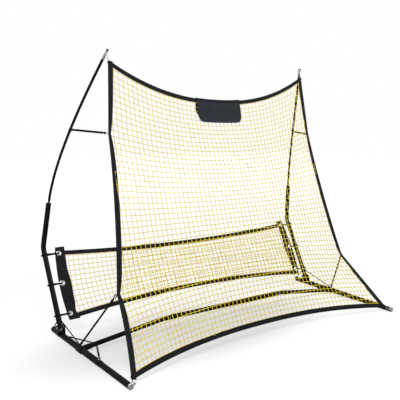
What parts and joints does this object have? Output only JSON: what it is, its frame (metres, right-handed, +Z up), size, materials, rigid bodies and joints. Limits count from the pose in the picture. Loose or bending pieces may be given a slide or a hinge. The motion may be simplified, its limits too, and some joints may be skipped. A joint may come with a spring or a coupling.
{
  "type": "soccer rebound net",
  "caption": "Free-standing ball rebound net: a large curved net between flexible poles, with a low net behind it, on a folding tubular floor frame.",
  "frame": {"origin": "on the floor, under the centre of the frame's outline seen from above", "axes": "+X across the net from left to right as seen from the front, +Y from the front ends of the rails to the rear, +Z up"},
  "size_m": [2.1326, 1.1114, 1.6876],
  "materials": {
    "black_painted_steel": "gloss black paint",
    "bright_steel": "zinc plated",
    "black_plastic": "moulded black",
    "black_glass_fibre": "satin black glass fibre rod",
    "black_webbing": "woven black tape and cord",
    "slate_fabric": "plain woven fabric",
    "yellow_twine": "knotted twine"
  },
  "bodies": {
    "base_frame": {"crossbar_centre_tube": "black_painted_steel", "header_flap": "slate_fabric", "left_crossbar_arm": "black_painted_steel", "left_crossbar_hub": "black_painted_steel", "left_crossbar_stay_front": "black_painted_steel", "left_crossbar_stay_rear": "black_painted_steel", "left_lower_net_link": "bright_steel", "left_lower_side_strap": "black_webbing", "left_rail_end_cap": "black_plastic", "left_rail_front_eye": "bright_steel", "left_rail_front_tube": "black_painted_steel", "left_rail_rear_tube": "black_painted_steel", "left_upright_bracket": "black_painted_steel", "left_upright_pivot_bolt": "bright_steel", "left_upright_stay_front": "black_webbing", "main_net": "yellow_twine", "main_net_border": "black_webbing", "right_crossbar_arm": "black_painted_steel", "right_crossbar_hub": "black_painted_steel", "right_crossbar_stay_front": "black_painted_steel", "right_crossbar_stay_rear": "black_painted_steel", "right_lower_net_link": "bright_steel", "right_lower_side_strap": "black_webbing", "right_rail_end_cap": "black_plastic", "right_rail_front_eye": "bright_steel", "right_rail_front_tube": "black_painted_steel", "right_rail_rear_tube": "black_painted_steel", "right_upright_bracket": "black_painted_steel", "right_upright_pivot_bolt": "bright_steel", "right_upright_stay_front": "black_webbing"},
    "left_upright": {"left_upright_tube": "black_painted_steel", "left_pole_socket": "black_plastic", "left_flex_pole": "black_glass_fibre", "left_pole_tip_eye": "bright_steel", "left_upper_net_link": "bright_steel", "left_upper_side_strap": "black_webbing", "left_rear_net_sleeve": "black_webbing", "left_sleeve_tie_bottom": "black_webbing", "left_sleeve_tie_middle": "black_webbing", "left_sleeve_tie_top": "black_webbing", "left_upright_stay_rear": "black_webbing", "rear_net": "yellow_twine", "rear_net_top_tape": "black_webbing", "rear_net_bottom_tape": "black_webbing"},
    "right_upright": {"right_upright_tube": "black_painted_steel", "right_pole_socket": "black_plastic", "right_flex_pole": "black_glass_fibre", "right_pole_tip_eye": "bright_steel", "right_upper_net_link": "bright_steel", "right_upper_side_strap": "black_webbing", "right_rear_net_sleeve": "black_webbing", "right_sleeve_tie_bottom": "black_webbing", "right_sleeve_tie_middle": "black_webbing", "right_sleeve_tie_top": "black_webbing", "right_upright_stay_rear": "black_webbing"},
    "left_rail_button": {"left_rail_snap_button": "bright_steel"},
    "left_crossbar_button": {"left_crossbar_snap_button": "bright_steel"},
    "right_rail_button": {"right_rail_snap_button": "bright_steel"},
    "right_crossbar_button": {"right_crossbar_snap_button": "bright_steel"}
  },
  "joints": [
    {"name": "left_upright_fold", "type": "hinge", "parent": "base_frame", "child": "left_upright", "pos_m": [-1.03629, 0.29848, 0.05835], "axis": [1, 0, 0], "range_deg": [0, 84], "deforming": ["main_net", "main_net_border", "header_flap", "left_lower_side_strap", "left_upper_side_strap", "left_upright_stay_front", "left_upright_stay_rear"]},
    {"name": "right_upright_fold", "type": "hinge", "parent": "base_frame", "child": "right_upright", "pos_m": [1.03629, 0.29848, 0.05835], "axis": [1, 0, 0], "range_deg": [0, 84], "deforming": ["right_lower_side_strap", "right_upper_side_strap", "right_upright_stay_front", "right_upright_stay_rear"]},
    {"name": "left_rail_button_press", "type": "slide", "parent": "base_frame", "child": "left_rail_button", "axis": [0, 0, -1], "range_m": [0, 0.0045], "stiffness_N_per_m": 900, "springref_m": -0.003},
    {"name": "left_crossbar_button_press", "type": "slide", "parent": "base_frame", "child": "left_crossbar_button", "axis": [0, 1, 0], "range_m": [0, 0.0045], "stiffness_N_per_m": 900, "springref_m": -0.003},
    {"name": "right_rail_button_press", "type": "slide", "parent": "base_frame", "child": "right_rail_button", "axis": [0, 0, -1], "range_m": [0, 0.0045], "stiffness_N_per_m": 900, "springref_m": -0.003},
    {"name": "right_crossbar_button_press", "type": "slide", "parent": "base_frame", "child": "right_crossbar_button", "axis": [0, 1, 0], "range_m": [0, 0.0045], "stiffness_N_per_m": 900, "springref_m": -0.003}
  ],
  "couplings": [
    {"joint": "right_upright_fold", "follows": "left_upright_fold", "ratio": 1}
  ]
}
